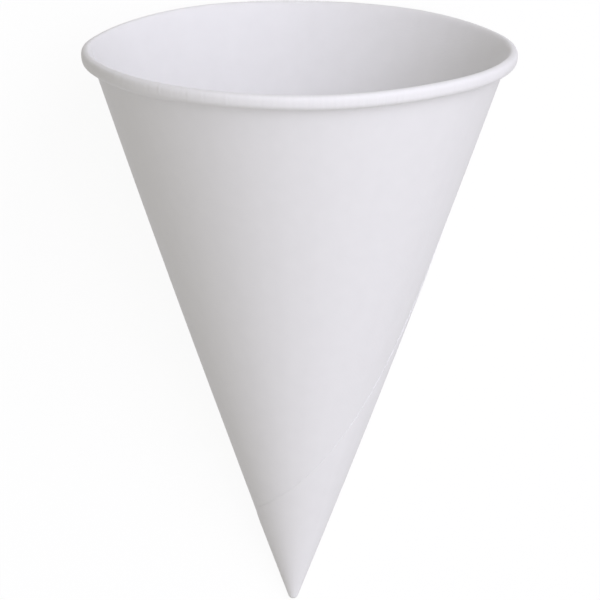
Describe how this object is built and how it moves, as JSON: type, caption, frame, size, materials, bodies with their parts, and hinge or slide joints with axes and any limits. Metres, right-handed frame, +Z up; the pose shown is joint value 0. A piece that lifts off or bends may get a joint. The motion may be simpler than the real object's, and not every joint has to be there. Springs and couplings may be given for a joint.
{
  "type": "cone paper cup",
  "caption": "Water cup wound from one paper blank into a pointed cone with a rolled rim and a glued spiral seam, lying on its side.",
  "frame": {"origin": "centre of the cup's bounding box, at the height of the surface it lies on", "axes": "+Z up; +Y along the cup's length, from the point towards the mouth; the cup's own axis leans 20.7 degrees up from +Y"},
  "size_m": [0.073, 0.1024, 0.0684],
  "materials": {
    "paper": "uncoated matt white paper"
  },
  "bodies": {
    "root": {"cup": "paper"}
  },
  "joints": []
}
